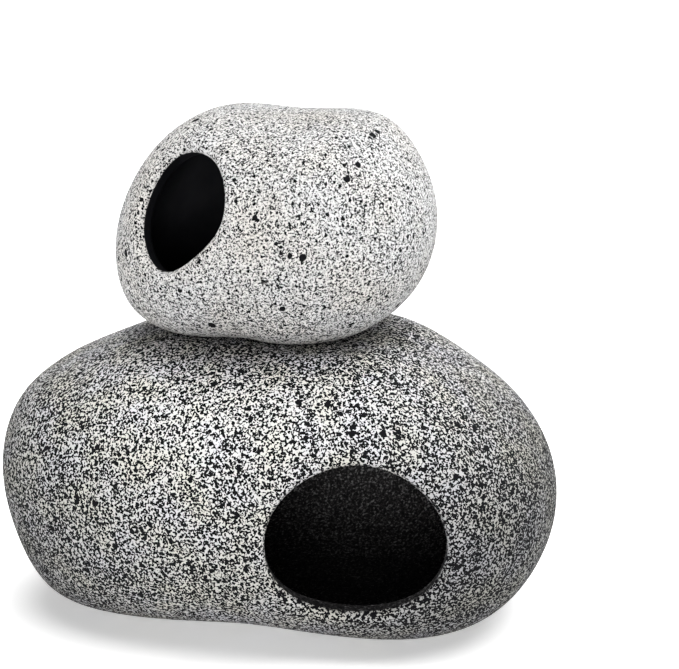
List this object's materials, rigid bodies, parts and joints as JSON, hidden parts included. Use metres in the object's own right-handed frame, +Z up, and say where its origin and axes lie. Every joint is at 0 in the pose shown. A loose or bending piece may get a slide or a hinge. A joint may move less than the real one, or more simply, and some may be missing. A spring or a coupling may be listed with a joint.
{
  "type": "resin cave ornament",
  "caption": "Hollow pebble-shaped resin cave for an aquarium, with a smaller hollow stone standing loose on its crown; each has an oval mouth.",
  "frame": {"origin": "middle of the flat foot on the ground, under the middle of the whole object's box", "axes": "+Z up, +X along the lower stone's length to the right of its mouth side, -Y towards the front with the mouths"},
  "size_m": [0.1516, 0.109, 0.1367],
  "materials": {
    "dark_resin_gritty": "matte, fine grit",
    "dark_speckled_coat": "matte salt-and-pepper grain",
    "dark_resin_smooth": "satin",
    "light_speckled_coat": "matte pale grain with black flecks"
  },
  "bodies": {
    "lower_stone": {"lower_stone_body": "dark_resin_gritty", "lower_stone_coat": "dark_speckled_coat"},
    "upper_stone": {"upper_stone_body": "dark_resin_smooth", "upper_stone_coat": "light_speckled_coat"}
  },
  "joints": [
    {"name": "upper_stone_lift", "type": "slide", "parent": "lower_stone", "child": "upper_stone", "axis": [0, 0, 1], "range_m": [0, 0.08]}
  ]
}
